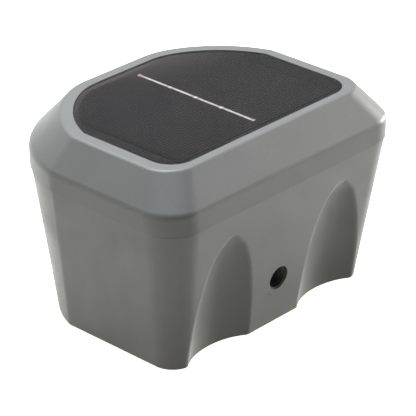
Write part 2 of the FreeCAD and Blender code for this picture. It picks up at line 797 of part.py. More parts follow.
def transformer_coil():
    """The wound bobbin around the core's middle limb."""
    x, y = TRANSFORMER_PLACE
    wide, deep = COIL_HALF
    bottom = BOARD_TOP + CORE_STANDOFF + CORE_LIMB + 0.3
    top = BOARD_TOP + CORE_STANDOFF + CORE_SIZE[2] - CORE_LIMB - 0.3
    low = bottom + COIL_FLANGE
    high = top - COIL_FLANGE
    coil = rounded_block((x - wide, y - deep, bottom), (x + wide, y + deep, top), 4.0, (0, 0, 1))
    limb_x = CORE_LIMB + 0.2
    limb_y = CORE_SIZE[1] / 2 + 0.2
    limb = block((x - limb_x, y - limb_y, bottom - 1), (x + limb_x, y + limb_y, top + 1))
    waist_low = (x - wide + 1, y - deep + 1, low)
    waist = rounded_block(waist_low, (x + wide - 1, y + deep - 1, high), 3.4, (0, 0, 1))
    groove = block((x - 20, y - 20, low), (x + 20, y + 20, high)).cut(waist)
    return coil.cut([limb, groove])


def storage_capacitor():
    """The moulded capacitor that holds each pulse's energy."""
    x, y = CAPACITOR_LOW
    wide, deep, high = CAPACITOR_SIZE
    bottom = BOARD_TOP + 0.3
    return rounded_block((x, y, bottom), (x + wide, y + deep, bottom + high), 2.0, (0, 0, 1))


def smoothing_capacitors():
    """Two upright cans, each with its crimped groove."""
    cans = []
    for y, height in CAN_PLACES:
        can = rod((CAN_X, y, BOARD_TOP), (0, 0, 1), height, CAN_RADIUS)
        crimp = ring((CAN_X, y, BOARD_TOP + 2.0), (0, 0, 1), 0.8, CAN_RADIUS + 1, CAN_RADIUS - 0.4)
        cans.append(can.cut(crimp))
    return cans


def switching_device():
    """A tabbed power device standing on three legs."""
    x, y = DEVICE_PLACE
    half = 5.0
    body = block((x, y - half, BOARD_TOP + 4), (x + 4.3, y + half, BOARD_TOP + 13))
    tab = block((x, y - half, BOARD_TOP + 13), (x + 1.2, y + half, BOARD_TOP + 19))
    tab = tab.cut(rod((x - 1.5, y, BOARD_TOP + 16), (1, 0, 0), 4, 1.7))
    legs = []
    for step in (-1, 0, 1):
        leg_y = y + 2.5 * step
        legs.append(block((x + 1.7, leg_y - 0.4, BOARD_TOP), (x + 2.3, leg_y + 0.4, BOARD_TOP + 4.2)))
    return body.fuse([tab] + legs)


def control_chip():
    """The controller at the board's back edge, with a row of legs along its front."""
    front = BOARD_BACK - 6.4
    body = block((-CHIP_HALF, front, BOARD_TOP + 0.8), (CHIP_HALF, BOARD_BACK - 0.2, BOARD_TOP + 4.2))
    legs = []
    for index in range(4):
        x = CHIP_LEG_PITCH * (index - 1.5)
        legs.append(block((x - 0.25, front - 0.6, BOARD_TOP), (x + 0.25, front + 0.1, BOARD_TOP + 2.4)))
    return body.fuse(legs)


def board_resistors():
    """Three resistors lying side by side at each back corner of the board."""
    resistors = []
    for side in LEFT_RIGHT:
        for step in range(3):
            x = side * (RESISTOR_START + RESISTOR_PITCH * step)
            start = (x, BOARD_BACK - 9, BOARD_TOP + RESISTOR_RADIUS)
            resistors.append(rod(start, (0, 1, 0), 6.5, RESISTOR_RADIUS))
    return resistors


# ---- terminals -----------------------------------------------------------------------
def stud(side):
    """A terminal stud, chamfered at its outer end."""
    start = (side * TERMINAL_X, STUD_INNER, TERMINAL_Z)
    shank = rod(start, (0, 1, 0), STUD_OUTER - STUD_INNER, STUD_RADIUS)
    end_rim = [edge for edge in shank.Edges if edge.BoundBox.YMin > STUD_OUTER - 1e-3]
    return shank.makeChamfer(STUD_CHAMFER, end_rim)


def bush(side):
    """An insulating shoulder bush between the stud and the case."""
    x = side * TERMINAL_X
    flange = rod((x, RECESS_FLOOR, TERMINAL_Z), (0, 1, 0), BUSH_FLANGE, BUSH_RADIUS)
    neck = rod((x, INNER_FACE, TERMINAL_Z), (0, 1, 0), WALL, BUSH_NECK)
    return flange.fuse(neck).cut(rod((x, STUD_INNER, TERMINAL_Z), (0, 1, 0), 20, STUD_RADIUS))


def terminal_nuts():
    """The two nuts behind the wall on each stud."""
    nuts = []
    for side in LEFT_RIGHT:
        x = side * TERMINAL_X
        nuts.append(hexagon((x, CASE_NUT_Y, TERMINAL_Z), NUT_FLATS, CASE_NUT_THICK, STUD_RADIUS))
        nuts.append(hexagon((x, LOCK_NUT_Y, TERMINAL_Z), NUT_FLATS, LOCK_NUT_THICK, STUD_RADIUS))
    return nuts


def terminal_lugs():
    """Ring lugs clamped between each stud's two inner nuts, barrels down."""
    barrel_bottom = TERMINAL_Z - BARREL_DROP
    lugs = []
    for side in LEFT_RIGHT:
        x = side * TERMINAL_X
        eye = rod((x, LUG_EYE_Y, TERMINAL_Z), (0, 1, 0), LUG_THICK, LUG_RADIUS)
        barrel = rod((x, LUG_Y, barrel_bottom), (0, 0, 1), 5.8, BARREL_RADIUS)
        lug = eye.fuse(barrel).cut(rod((x, LUG_EYE_Y - 0.4, TERMINAL_Z), (0, 1, 0), 2, STUD_RADIUS))
        lugs.append(lug.cut(rod((x, LUG_Y, barrel_bottom - 1), (0, 0, 1), 4.5, BARREL_BORE)))
    return lugs


def terminal_lead(side):
    """The short wire from the board up into a lug's barrel."""
    length = TERMINAL_Z - LEAD_DROP - BOARD_TOP
    return rod((side * TERMINAL_X, LUG_Y, BOARD_TOP), (0, 0, 1), length, BARREL_BORE - 0.05)


def washer_start():
    """How far back a clamping washer stands when its knob is done up."""
    return RECESS_FLOOR + BUSH_FLANGE + MOVING_GAP


def terminal_washer(side):
    """The loose washer that presses a wire against the bush."""
    start = (side * TERMINAL_X, washer_start(), TERMINAL_Z)
    return ring(start, (0, 1, 0), WASHER_THICK, WASHER_RADIUS, STUD_RADIUS + RUNNING_GAP)


def terminal_knob(side):
    """A fluted thumb knob on a terminal stud, closed at its outer end."""
    x = side * TERMINAL_X
    start = washer_start() + WASHER_THICK + MOVING_GAP
    knob = rod((x, start, TERMINAL_Z), (0, 1, 0), KNOB_LENGTH, KNOB_RADIUS)
    knob = knob.makeFillet(1.0, [e for e in knob.Edges if e.BoundBox.YLength < 1e-3])
    flutes = []
    for step in range(KNOB_FLUTES):
        angle = 2 * math.pi * step / KNOB_FLUTES
        flute_x = x + FLUTE_CENTRE * math.cos(angle)
        flute_z = TERMINAL_Z + FLUTE_CENTRE * math.sin(angle)
        flutes.append(rod((flute_x, start + 2.0, flute_z), (0, 1, 0), KNOB_LENGTH, FLUTE_RADIUS))
    knob = knob.cut(flutes)
    bore_length = KNOB_LENGTH - KNOB_END + 1
    return knob.cut(rod((x, start - 1, TERMINAL_Z), (0, 1, 0), bore_length, STUD_RADIUS + RUNNING_GAP))


# ---- power switch and lamp -----------------------------------------------------------
def switch_body():
    """A rectangular rocker switch body clipped into the recess floor."""
    x, z = SWITCH_X, CONTROL_Z
    wide, high = SWITCH_HALF
    bezel_low = (x - wide - BEZEL_OVERLAP, RECESS_FLOOR, z - high - BEZEL_OVERLAP)
    bezel_high = (x + wide + BEZEL_OVERLAP, RECESS_FLOOR + BEZEL_THICK, z + high + BEZEL_OVERLAP)
    bezel = rounded_block(bezel_low, bezel_high, 1.2, (0, 1, 0))
    body = block((x - wide, SWITCH_BACK, z - high), (x + wide, RECESS_FLOOR + 0.5, z + high))
    well_x = ROCKER_HALF[0] + 0.8
    well_z = ROCKER_HALF[1] + 0.3
    well = block((x - well_x, INNER_FACE - 1.5, z - well_z), (x + well_x, RECESS_FLOOR + 5, z + well_z))
    tabs = []
    for side in LEFT_RIGHT:
        middle = x + side * SWITCH_TAB_X
        low = (middle - 0.4, SWITCH_TAB_END, z - 2.3)
        tabs.append(block(low, (middle + 0.4, SWITCH_BACK + 0.2, z + 2.3)))
    pivot_half = ROCKER_HALF[1] + 1.4
    pivot = rod((x, ROCKER_AXIS_Y, z - pivot_half), (0, 0, 1), 2 * pivot_half, ROCKER_PIN + 0.06)
    return bezel.fuse([body] + tabs).cut([well, pivot])


def switch_rocker():
    """The rocker, resting on the side that switches the unit on."""
    x, z = SWITCH_X, CONTROL_Z
    y = ROCKER_AXIS_Y
    wide, high = ROCKER_HALF
    bottom = z - high
    points = [
        (x - wide, y - 0.2, bottom),
        (x - wide, y + 3.1, bottom),
        (x, y + 2.2, bottom),
        (x + wide, y + 3.1, bottom),
        (x + wide, y - 0.2, bottom),
        (x + 3.0, y - 2.6, bottom),
        (x - 3.0, y - 2.6, bottom),
    ]
    pin_half = high + 1.2
    pins = rod((x, y, z - pin_half), (0, 0, 1), 2 * pin_half, ROCKER_PIN)
    rocker = prism(points, (0, 0, 2 * high)).fuse(pins)
    rocker.rotate(Vector(x, y, z), Vector(0, 0, 1), ROCKER_TILT)
    return rocker


def switch_leads():
    """The two wires from the board up to the switch's tabs."""
    top = CONTROL_Z - 2.3
    leads = []
    for side in LEFT_RIGHT:
        start = (SWITCH_X + side * SWITCH_TAB_X, SWITCH_TAB_END + 1.5, top)
        leads.append(rod(start, (0, 0, -1), top - BOARD_TOP, 0.8))
    return leads


def status_led():
    """A round lamp with a domed end, pushed through its clip."""
    start = (LED_X, LED_BACK, CONTROL_Z)
    barrel = rod(start, (0, 1, 0), LED_DOME - LED_BACK, LED_RADIUS)
    dome = Part.makeSphere(LED_RADIUS, Vector(LED_X, LED_DOME, CONTROL_Z))
    flange = rod(start, (0, 1, 0), 1.0, LED_RADIUS + 0.5)
    return barrel.fuse([dome, flange]).removeSplitter()


def led_clip():
    """The bezel that holds the lamp in the wall."""
    collar = ring((LED_X, RECESS_FLOOR, CONTROL_Z), (0, 1, 0), 1.4, CLIP_COLLAR, CLIP_BORE)
    neck = ring((LED_X, RECESS_FLOOR - 4.4, CONTROL_Z), (0, 1, 0), 4.4, CLIP_NECK, CLIP_BORE)
    return collar.fuse(neck)


def led_leads():
    """The lamp's two wires, back and then down to the board."""
    turn_y = SWITCH_TAB_END + 2
    leads = []
    for side in LEFT_RIGHT:
        x = LED_X + side * LED_LEG_X
        corners = [(x, LED_BACK, CONTROL_Z), (x, turn_y, CONTROL_Z), (x, turn_y, BOARD_TOP)]
        leads.append(bent_tube(corners, 2.0, 0.4))
    return leads


def lead_sleeve():
    """The dark sleeve that lines the front hole, flanged on the inside."""
    length = SLEEVE_BACK - SLEEVE_FRONT
    tube = rod((0, SLEEVE_FRONT, HOLE_HEIGHT), (0, 1, 0), length, HOLE_RADIUS - 0.05)
    flange_start = (0, HOLE_BOSS_END, HOLE_HEIGHT)
    flange = rod(flange_start, (0, 1, 0), SLEEVE_FLANGE, HOLE_RADIUS + HOLE_BOSS_WALL - 0.2)
    return tube.fuse(flange).cut(rod((0, -65, HOLE_HEIGHT), (0, 1, 0), 20, SLEEVE_BORE))


# ---- the whole assembly --------------------------------------------------------------
LEFT, RIGHT = LEFT_RIGHT

PIECES = {
    "base_housing": base_housing(),
    "lid_gasket": lid_gasket(),
    "lid_shell": lid_shell(),
    "lid_screws": lid_screws(),
    "panel_window": panel_window(),
    "solar_cell": solar_cell(),
    "cell_ribbon": cell_ribbon(),
    "panel_backing": panel_backing(),
    "panel_seal": panel_seal(),
    "panel_junction": panel_junction(),
    "panel_lead_red": panel_lead(RIGHT),
    "panel_lead_black": panel_lead(LEFT),
    "panel_plug": panel_plug(),
    "panel_header": panel_header(),
    "lead_sleeve": lead_sleeve(),
    "battery_case": battery_case(),
    "battery_tabs": battery_tabs(),
    "battery_pad": battery_pad(),
    "battery_strap": battery_strap(),
    "strap_screws": strap_screws(),
    "tab_sleeves": tab_sleeves(),
    "battery_lead_red": battery_lead(TAB_HEIGHTS[1], 9.6),
    "battery_lead_black": battery_lead(TAB_HEIGHTS[0], 16.0),
    "circuit_board": circuit_board(),
    "board_screws": board_screws(),
    "transformer_core": transformer_core(),
    "transformer_coil": transformer_coil(),
    "storage_capacitor": storage_capacitor(),
    "smoothing_capacitors": smoothing_capacitors(),
    "switching_device": switching_device(),
    "control_chip": control_chip(),
    "board_resistors": board_resistors(),
    "fence_stud": stud(RIGHT),
    "earth_stud": stud(LEFT),
    "fence_bush": bush(RIGHT),
    "earth_bush": bush(LEFT),
    "terminal_nuts": terminal_nuts(),
    "terminal_lugs": terminal_lugs(),
    "fence_lead": terminal_lead(RIGHT),
    "earth_lead": terminal_lead(LEFT),
    "fence_washer": terminal_washer(RIGHT),
    "earth_washer": terminal_washer(LEFT),
    "fence_knob": terminal_knob(RIGHT),
    "earth_knob": terminal_knob(LEFT),
    "switch_body": switch_body(),
    "switch_rocker": switch_rocker(),
    "switch_leads": switch_leads(),
    "status_led": status_led(),
    "led_clip": led_clip(),
    "led_leads": led_leads(),
}

os.makedirs("parts", exist_ok=True)
for name, piece in PIECES.items():
    if isinstance(piece, list):
        piece = Part.makeCompound(piece)
    piece.exportStep("parts/" + name + ".step")
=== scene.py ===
import math

import bmesh
import bpy
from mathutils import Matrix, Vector, noise
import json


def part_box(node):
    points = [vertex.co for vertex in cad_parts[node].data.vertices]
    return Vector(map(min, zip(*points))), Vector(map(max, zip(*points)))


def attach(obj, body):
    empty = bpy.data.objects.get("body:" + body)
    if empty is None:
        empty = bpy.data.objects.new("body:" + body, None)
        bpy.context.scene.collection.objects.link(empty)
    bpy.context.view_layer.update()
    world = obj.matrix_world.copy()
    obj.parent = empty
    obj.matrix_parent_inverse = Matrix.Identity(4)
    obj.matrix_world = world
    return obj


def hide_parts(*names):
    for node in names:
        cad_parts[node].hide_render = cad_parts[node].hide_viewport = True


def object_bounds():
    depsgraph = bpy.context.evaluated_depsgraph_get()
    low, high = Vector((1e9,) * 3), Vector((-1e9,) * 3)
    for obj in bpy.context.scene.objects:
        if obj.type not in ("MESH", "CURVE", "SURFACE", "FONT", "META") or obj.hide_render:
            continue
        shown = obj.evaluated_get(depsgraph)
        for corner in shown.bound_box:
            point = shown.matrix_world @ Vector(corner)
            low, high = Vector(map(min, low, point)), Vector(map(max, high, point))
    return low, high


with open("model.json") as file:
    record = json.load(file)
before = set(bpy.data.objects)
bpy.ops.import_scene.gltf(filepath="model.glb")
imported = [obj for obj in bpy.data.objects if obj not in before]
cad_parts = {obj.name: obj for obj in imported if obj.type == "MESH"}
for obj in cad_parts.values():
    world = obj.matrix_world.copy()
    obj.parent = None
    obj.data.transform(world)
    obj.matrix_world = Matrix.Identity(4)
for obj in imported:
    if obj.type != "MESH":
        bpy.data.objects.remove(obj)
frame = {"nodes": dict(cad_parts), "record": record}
CAD_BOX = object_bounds()
NODES = frame["nodes"]
MM = 0.001


# ---- shader building blocks ----------------------------------------------------------
class Shader:
    """A node material under construction, with short calls for the nodes used here."""

    def __init__(self, name, roughness=0.5, metallic=0.0):
        self.material = bpy.data.materials.new(name)
        self.material.use_nodes = True
        self.tree = self.material.node_tree
        self.surface = self.tree.nodes["Principled BSDF"]
        self.surface.inputs["Roughness"].default_value = roughness
        self.surface.inputs["Metallic"].default_value = metallic
        self.surface.inputs["Base Color"].default_value = (0.5, 0.5, 0.5, 1.0)
        self.place = self.tree.nodes.new("ShaderNodeTexCoord").outputs["Object"]

    def node(self, kind, **settings):
        """Add a shader node of a kind, with its settings."""
        made = self.tree.nodes.new("ShaderNode" + kind)
        for key, value in settings.items():
            setattr(made, key, value)
        return made

    def feed(self, socket, value):
        """Link an output to a socket, or set the socket's own value."""
        if isinstance(value, bpy.types.NodeSocket):
            self.tree.links.new(value, socket)
        else:
            socket.default_value = value

    def set(self, **inputs):
        """Feed the main shader's inputs by name, with _ for a space."""
        for name, value in inputs.items():
            self.feed(self.surface.inputs[name.replace("_", " ")], value)

    def stretched(self, scale):
        """The object's coordinates, scaled differently along each axis."""
        mapping = self.node("Mapping")
        self.feed(mapping.inputs["Vector"], self.place)
        mapping.inputs["Scale"].default_value = scale
        return mapping.outputs["Vector"]

    def noise(self, scale, detail=2.0, roughness=0.5, where=None):
        """Smooth noise from 0 to 1; scale is the number of lumps in a metre."""
        made = self.node("TexNoise")
        self.feed(made.inputs["Vector"], where or self.place)
        made.inputs["Scale"].default_value = scale
        made.inputs["Detail"].default_value = detail
        made.inputs["Roughness"].default_value = roughness
        return made.outputs["Fac"]

    def cells(self, scale):
        """Distance to the nearest of many scattered points."""
        made = self.node("TexVoronoi")
        self.feed(made.inputs["Vector"], self.place)
        made.inputs["Scale"].default_value = scale
        return made.outputs["Distance"]

    def axis(self, letter, source=None):
        """One coordinate of the object's position, in metres, or of another vector."""
        split = self.node("SeparateXYZ")
        self.feed(split.inputs["Vector"], source or self.place)
        return split.outputs[letter]

    def facing(self, letter):
        """One component of the surface normal."""
        return self.axis(letter, self.node("NewGeometry").outputs["Normal"])

    def math(self, operation, first, second=0.0):
        """One sum on sockets or numbers."""
        made = self.node("Math", operation=operation)
        self.feed(made.inputs[0], first)
        self.feed(made.inputs[1], second)
        return made.outputs["Value"]

    def span(self, value, low, high, to_low=0.0, to_high=1.0):
        """Carry a value from one range to another, held at the ends."""
        made = self.node("MapRange")
        self.feed(made.inputs["Value"], value)
        names = ("From Min", "From Max", "To Min", "To Max")
        for name, number in zip(names, (low, high, to_low, to_high)):
            made.inputs[name].default_value = number
        return made.outputs["Result"]

    def blend(self, share, first, second):
        """Mix two colours, each a socket or an RGB triple."""
        made = self.node("Mix", data_type="RGBA")
        self.feed(made.inputs["Factor"], share)
        for socket, colour in ((made.inputs[6], first), (made.inputs[7], second)):
            self.feed(socket, colour if isinstance(colour, bpy.types.NodeSocket) else (*colour, 1.0))
        return made.outputs[2]

    def bump(self, height, distance, strength=1.0, under=None):
        """Relief on the main shader, on top of another relief where one is given."""
        made = self.node("Bump")
        made.inputs["Strength"].default_value = strength
        made.inputs["Distance"].default_value = distance
        self.feed(made.inputs["Height"], height)
        if under is not None:
            self.feed(made.inputs["Normal"], under)
        self.feed(self.surface.inputs["Normal"], made.outputs["Normal"])
        return made.outputs["Normal"]


# ---- materials -----------------------------------------------------------------------
def case_plastic():
    """Grey moulded plastic: fine spark-eroded grain, slow tone drift and a little dust."""
    s = Shader("case_grey")
    drift = s.noise(14.0, 3.0)
    mottle = s.noise(420.0, 3.0, 0.6)
    tone = s.blend(s.span(drift, 0.35, 0.65), (0.205, 0.207, 0.198), (0.222, 0.224, 0.215))
    tone = s.blend(s.span(mottle, 0.3, 0.75, 0.0, 0.30), tone, (0.250, 0.252, 0.242))
    upward = s.span(s.facing("Z"), 0.5, 1.0)
    dust = s.math("MULTIPLY", upward, s.span(s.noise(95.0, 5.0, 0.7), 0.5, 0.8, 0.0, 0.12))
    s.set(Base_Color=s.blend(dust, tone, (0.36, 0.35, 0.33)))
    s.set(Roughness=s.span(s.noise(60.0, 4.0), 0.3, 0.7, 0.40, 0.50))
    grain = s.noise(2600.0, 2.0, 0.6)
    broad = s.noise(120.0, 2.0)
    under = s.bump(broad, 0.00006, 0.5)
    s.bump(grain, 0.00004, 0.35, under)
    return s.material


def rubber(name, colour, roughness=0.7):
    """Soft dull rubber, foam or wire insulation with a paler bloom in patches."""
    s = Shader(name)
    bloom = s.span(s.noise(300.0, 4.0), 0.4, 0.8, 0.0, 0.5)
    s.set(Base_Color=s.blend(bloom, colour, tuple(c + 0.02 for c in colour)))
    s.set(Roughness=s.span(s.noise(80.0, 3.0), 0.3, 0.7, roughness - 0.08, roughness + 0.08))
    s.bump(s.noise(1800.0, 3.0), 0.00005, 0.4)
    return s.material


def ribbed_sleeve():
    """Soft black lining with fine rings along the hole, dusty in patches along the rings."""
    s = Shader("sleeve_black", roughness=0.6)
    rings = s.math("SINE", s.math("MULTIPLY", s.axis("Y"), 2 * math.pi / (0.9 * MM)))
    dust = s.math("MULTIPLY", s.span(s.noise(500.0, 4.0, 0.7), 0.35, 0.7), s.span(rings, 0.2, 1.0, 0.1, 0.8))
    s.set(Base_Color=s.blend(dust, (0.008, 0.008, 0.008), (0.040, 0.034, 0.028)))
    s.bump(s.noise(1800.0, 3.0), 0.00005, 0.3, s.bump(rings, 0.0003, 0.8))
    return s.material


def moulded(name, colour, roughness=0.35, worn=(0.0, 0.0, 0.0)):
    """Smooth injection-moulded plastic with faint flow marks and handling scuffs."""
    s = Shader(name)
    flow = s.noise(55.0, 4.0, where=s.stretched((1.0, 1.0, 0.3)))
    scuff = s.span(s.noise(260.0, 6.0, 0.75), 0.62, 0.8, 0.0, 0.35)
    light = tuple(min(1.0, c * 1.25 + 0.015) for c in colour)
    tone = s.blend(s.span(flow, 0.3, 0.7), colour, light)
    s.set(Base_Color=s.blend(scuff, tone, tuple(c + w for c, w in zip(light, worn))))
    s.set(Roughness=s.span(s.noise(150.0, 4.0), 0.3, 0.7, roughness - 0.06, roughness + 0.10))
    s.bump(s.noise(900.0, 3.0), 0.00003, 0.35)
    return s.material


def metal(name, colour, roughness=0.3, along=(1.0, 1.0, 1.0)):
    """Drawn or plated metal with fine lines along one direction and dull patches."""
    s = Shader(name, metallic=1.0)
    lines = s.noise(900.0, 3.0, 0.7, s.stretched(along))
    patches = s.noise(160.0, 4.0)
    dull = tuple(c * 0.72 for c in colour)
    s.set(Base_Color=s.blend(s.span(patches, 0.35, 0.75), colour, dull))
    s.set(Roughness=s.span(lines, 0.3, 0.7, roughness - 0.08, roughness + 0.14))
    s.bump(lines, 0.00002, 0.4)
    return s.material


def clear_window():
    """The clear anti-glare sheet over the cell, slightly satin and very slightly uneven."""
    s = Shader("window_clear")
    s.set(Base_Color=(0.80, 0.80, 0.81, 1.0), IOR=1.17, Transmission_Weight=1.0)
    s.set(Roughness=s.span(s.noise(40.0, 3.0), 0.3, 0.7, 0.06, 0.10))
    s.bump(s.noise(22.0, 1.0), 0.0001, 0.08)
    return s.material


def silicon():
    """The wafer: near black, with faint printed silver fingers along X at an even pitch.
    They stop short of the wafer's sides and fade towards its back."""
    s = Shader("cell_dark", roughness=0.34)
    pitch = 2.15 * MM
    across = s.math("FRACT", s.math("DIVIDE", s.axis("Y"), pitch))
    beside = s.math("ABSOLUTE", s.math("SUBTRACT", across, 0.5))
    printed = s.span(s.noise(70.0, 3.0), 0.3, 0.7, 0.55, 1.0)
    reach = s.span(s.math("ABSOLUTE", s.axis("X")), 0.0565, 0.0575, 1.0, 0.0)
    worn = s.math("MULTIPLY", printed, s.span(s.axis("Y"), 0.020, 0.042, 1.0, 0.35))
    line = s.math("MULTIPLY", s.span(beside, 0.04, 0.10, 1.0, 0.0), reach)
    finger = s.math("MULTIPLY", line, worn)
    wafer = s.blend(s.span(s.noise(18.0, 2.0), 0.3, 0.7), (0.007, 0.006, 0.007), (0.012, 0.010, 0.010))
    # Painted reflection: the wafer is lightened and warmed towards the back and the right, standing in for
    # the back lights mirrored in the window.
    reflection_side = s.span(s.axis("X"), -0.020, 0.040, 0.1, 1.0)
    painted_reflection = s.math("MULTIPLY", s.span(s.axis("Y"), 0.020, 0.048), reflection_side)
    wafer = s.blend(painted_reflection, wafer, (0.085, 0.076, 0.070))
    s.set(Base_Color=s.blend(finger, wafer, (0.12, 0.116, 0.112)))
    s.set(Specular_IOR_Level=0.1)
    s.bump(line, 0.00001, 0.1)
    return s.material


def backing():
    """The woven board behind the wafer, with a painted reflection lightening it towards the back edge."""
    s = Shader("backing_black", roughness=0.5)
    weave = s.math("MULTIPLY", s.math("SINE", s.math("MULTIPLY", s.axis("X"), 5200.0)),
                   s.math("SINE", s.math("MULTIPLY", s.axis("Y"), 5200.0)))
    board = s.blend(s.span(weave, -1.0, 1.0), (0.010, 0.009, 0.008), (0.016, 0.015, 0.013))
    mottle = s.span(s.noise(120.0, 4.0), 0.2, 0.8, 0.7, 1.0)
    # Painted reflection: lighter and browner towards the back edge in mottled patches, standing in for the
    # back lights mirrored in the window.
    painted_reflection = s.math("MULTIPLY", s.span(s.axis("Y"), 0.018, 0.050), mottle)
    s.set(Base_Color=s.blend(painted_reflection, board, (0.115, 0.104, 0.097)), Specular_IOR_Level=0.2)
    s.bump(weave, 0.00002, 0.3)
    return s.material


SOLDER_SPOTS = (0.0, 0.28, 0.5, 0.72, 1.0)
ASKEW = 1.0 * MM


def solder_tin():
    """Tinned copper: white solder at the spots, with coppery tints beside them."""
    low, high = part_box("cell_ribbon")
    s = Shader("ribbon_tin", metallic=0.35)
    near = 1.0
    for share in SOLDER_SPOTS:
        spot = low.y + share * (high.y - low.y)
        near = s.math("MINIMUM", near, s.math("ABSOLUTE", s.math("SUBTRACT", s.axis("Y"), spot)))
    thin = s.span(s.noise(170.0, 5.0, 0.7), 0.50, 0.64, 0.0, 0.5)
    bare = s.math("MAXIMUM", thin, s.span(near, 1.2 * MM, 4.5 * MM, 0.9, 0.0))
    tape = s.blend(bare, (0.99, 0.95, 0.85), (0.62, 0.45, 0.32))
    s.set(Base_Color=s.blend(s.span(near, 0.8 * MM, 1.2 * MM, 1.0, 0.0), tape, (1.0, 1.0, 1.0)))
    s.set(Roughness=s.span(s.noise(420.0, 4.0), 0.3, 0.7, 0.32, 0.52))
    s.bump(s.noise(700.0, 3.0), 0.00008, 0.5)
    return s.material


def circuit_board_green():
    """Solder mask over copper tracks, with darker bare laminate between them."""
    s = Shader("board_green", roughness=0.32)
    lanes = s.math("ABSOLUTE", s.math("SINE", s.math("MULTIPLY", s.axis("X"), 900.0)))
    turns = s.math("ABSOLUTE", s.math("SINE", s.math("MULTIPLY", s.axis("Y"), 620.0)))
    pick = s.span(s.cells(70.0), 0.25, 0.3)
    route = s.node("Mix")
    s.feed(route.inputs["Factor"], pick)
    s.feed(route.inputs[2], lanes)
    s.feed(route.inputs[3], turns)
    track = s.span(route.outputs[0], 0.45, 0.55)
    s.set(Base_Color=s.blend(track, (0.008, 0.060, 0.026), (0.022, 0.135, 0.055)))
    s.bump(track, 0.00004, 0.6)
    return s.material


def wound_copper():
    """Close turns of enamelled copper wire under a thin varnish."""
    s = Shader("coil_copper", roughness=0.3)
    turns = s.math("SINE", s.math("MULTIPLY", s.axis("Z"), 2 * math.pi / (0.55 * MM)))
    tint = s.span(s.noise(90.0, 3.0), 0.3, 0.7)
    s.set(Base_Color=s.blend(tint, (0.36, 0.12, 0.035), (0.50, 0.20, 0.06)))
    s.set(Coat_Weight=0.5, Coat_Roughness=0.2)
    s.bump(turns, 0.0002, 0.7)
    return s.material


def laminated_iron():
    """Stacked iron sheets, with a little rust in patches."""
    s = Shader("core_iron", roughness=0.5, metallic=0.6)
    sheets = s.math("SINE", s.math("MULTIPLY", s.axis("Y"), 2 * math.pi / (0.5 * MM)))
    rust = s.span(s.noise(200.0, 5.0, 0.7), 0.58, 0.75, 0.0, 0.5)
    s.set(Base_Color=s.blend(rust, (0.075, 0.078, 0.085), (0.13, 0.075, 0.045)))
    s.bump(sheets, 0.00012, 0.6)
    return s.material


def film_capacitor():
    """Yellow epoxy with a fine speckle."""
    s = Shader("capacitor_yellow")
    speckle = s.span(s.noise(500.0, 4.0), 0.35, 0.7)
    s.set(Base_Color=s.blend(speckle, (0.50, 0.33, 0.05), (0.60, 0.42, 0.09)))
    s.set(Roughness=s.span(s.noise(90.0, 3.0), 0.3, 0.7, 0.28, 0.42))
    s.bump(s.noise(600.0, 3.0), 0.00005, 0.4)
    return s.material


def lamp_green():
    """Tinted, slightly cloudy lamp resin."""
    s = Shader("led_green", roughness=0.12)
    s.set(Base_Color=s.blend(s.noise(600.0, 2.0), (0.03, 0.42, 0.08), (0.06, 0.55, 0.12)))
    s.set(Transmission_Weight=0.45, IOR=1.5)
    s.bump(s.noise(900.0, 2.0), 0.00002, 0.2)
    return s.material


def banded_resistor():
    """Lacquered body with colour bands round it."""
    s = Shader("resistor_tan", roughness=0.3)
    bands = s.math("FRACT", s.math("DIVIDE", s.axis("Y"), 1.4 * MM))
    ink = s.blend(s.span(s.axis("X"), -0.03, 0.03), (0.25, 0.03, 0.02), (0.03, 0.04, 0.20))
    s.set(Base_Color=s.blend(s.span(bands, 0.66, 0.70), (0.42, 0.29, 0.15), ink))
    s.bump(s.noise(700.0, 2.0), 0.00004, 0.3)
    return s.material


MATERIALS = {
    "case_grey": case_plastic(),
    "seal_black": rubber("seal_black", (0.012, 0.012, 0.012)),
    "screw_zinc": metal("screw_zinc", (0.72, 0.72, 0.70), 0.3),
    "window_clear": clear_window(),
    "cell_dark": silicon(),
    "ribbon_tin": solder_tin(),
    "backing_black": backing(),
    "wire_red": rubber("wire_red", (0.42, 0.018, 0.012), 0.42),
    "wire_black": rubber("wire_black", (0.012, 0.012, 0.012), 0.42),
    "connector_white": moulded("connector_white", (0.66, 0.64, 0.58)),
    "battery_plastic": moulded("battery_plastic", (0.028, 0.029, 0.031), 0.42, (0.03, 0.03, 0.03)),
    "tab_brass": metal("tab_brass", (0.78, 0.70, 0.50), 0.28, (0.2, 1.0, 1.0)),
    "foam_black": rubber("foam_black", (0.02, 0.02, 0.02), 0.9),
    "strap_steel": metal("strap_steel", (0.62, 0.63, 0.64), 0.38, (0.1, 1.0, 1.0)),
    "board_green": circuit_board_green(),
    "core_iron": laminated_iron(),
    "coil_copper": wound_copper(),
    "capacitor_yellow": film_capacitor(),
    "can_black": moulded("can_black", (0.015, 0.018, 0.035), 0.25),
    "device_black": moulded("device_black", (0.018, 0.018, 0.018), 0.5),
    "resistor_tan": banded_resistor(),
    "stud_steel": metal("stud_steel", (0.70, 0.69, 0.66), 0.26, (1.0, 0.2, 1.0)),
    "bush_white": moulded("bush_white", (0.60, 0.60, 0.57)),
    "knob_red": moulded("knob_red", (0.46, 0.014, 0.010), 0.36, (0.10, 0.05, 0.05)),
    "knob_green": moulded("knob_green", (0.008, 0.14, 0.035), 0.36, (0.05, 0.08, 0.05)),
    "switch_black": moulded("switch_black", (0.015, 0.015, 0.016), 0.32),
    "led_green": lamp_green(),
}


# ---- finish on the carried-over parts ------------------------------------------------
# Width in mm of the broken edges on each boxy part.
ROUNDED = {"battery_case": 0.8, "storage_capacitor": 0.5, "panel_plug": 0.3, "panel_header": 0.3,
           "transformer_core": 0.3, "battery_strap": 0.3, "switch_rocker": 0.5, "tab_sleeves": 0.3,
           "control_chip": 0.25, "switching_device": 0.25, "circuit_board": 0.15, "terminal_nuts": 0.35}


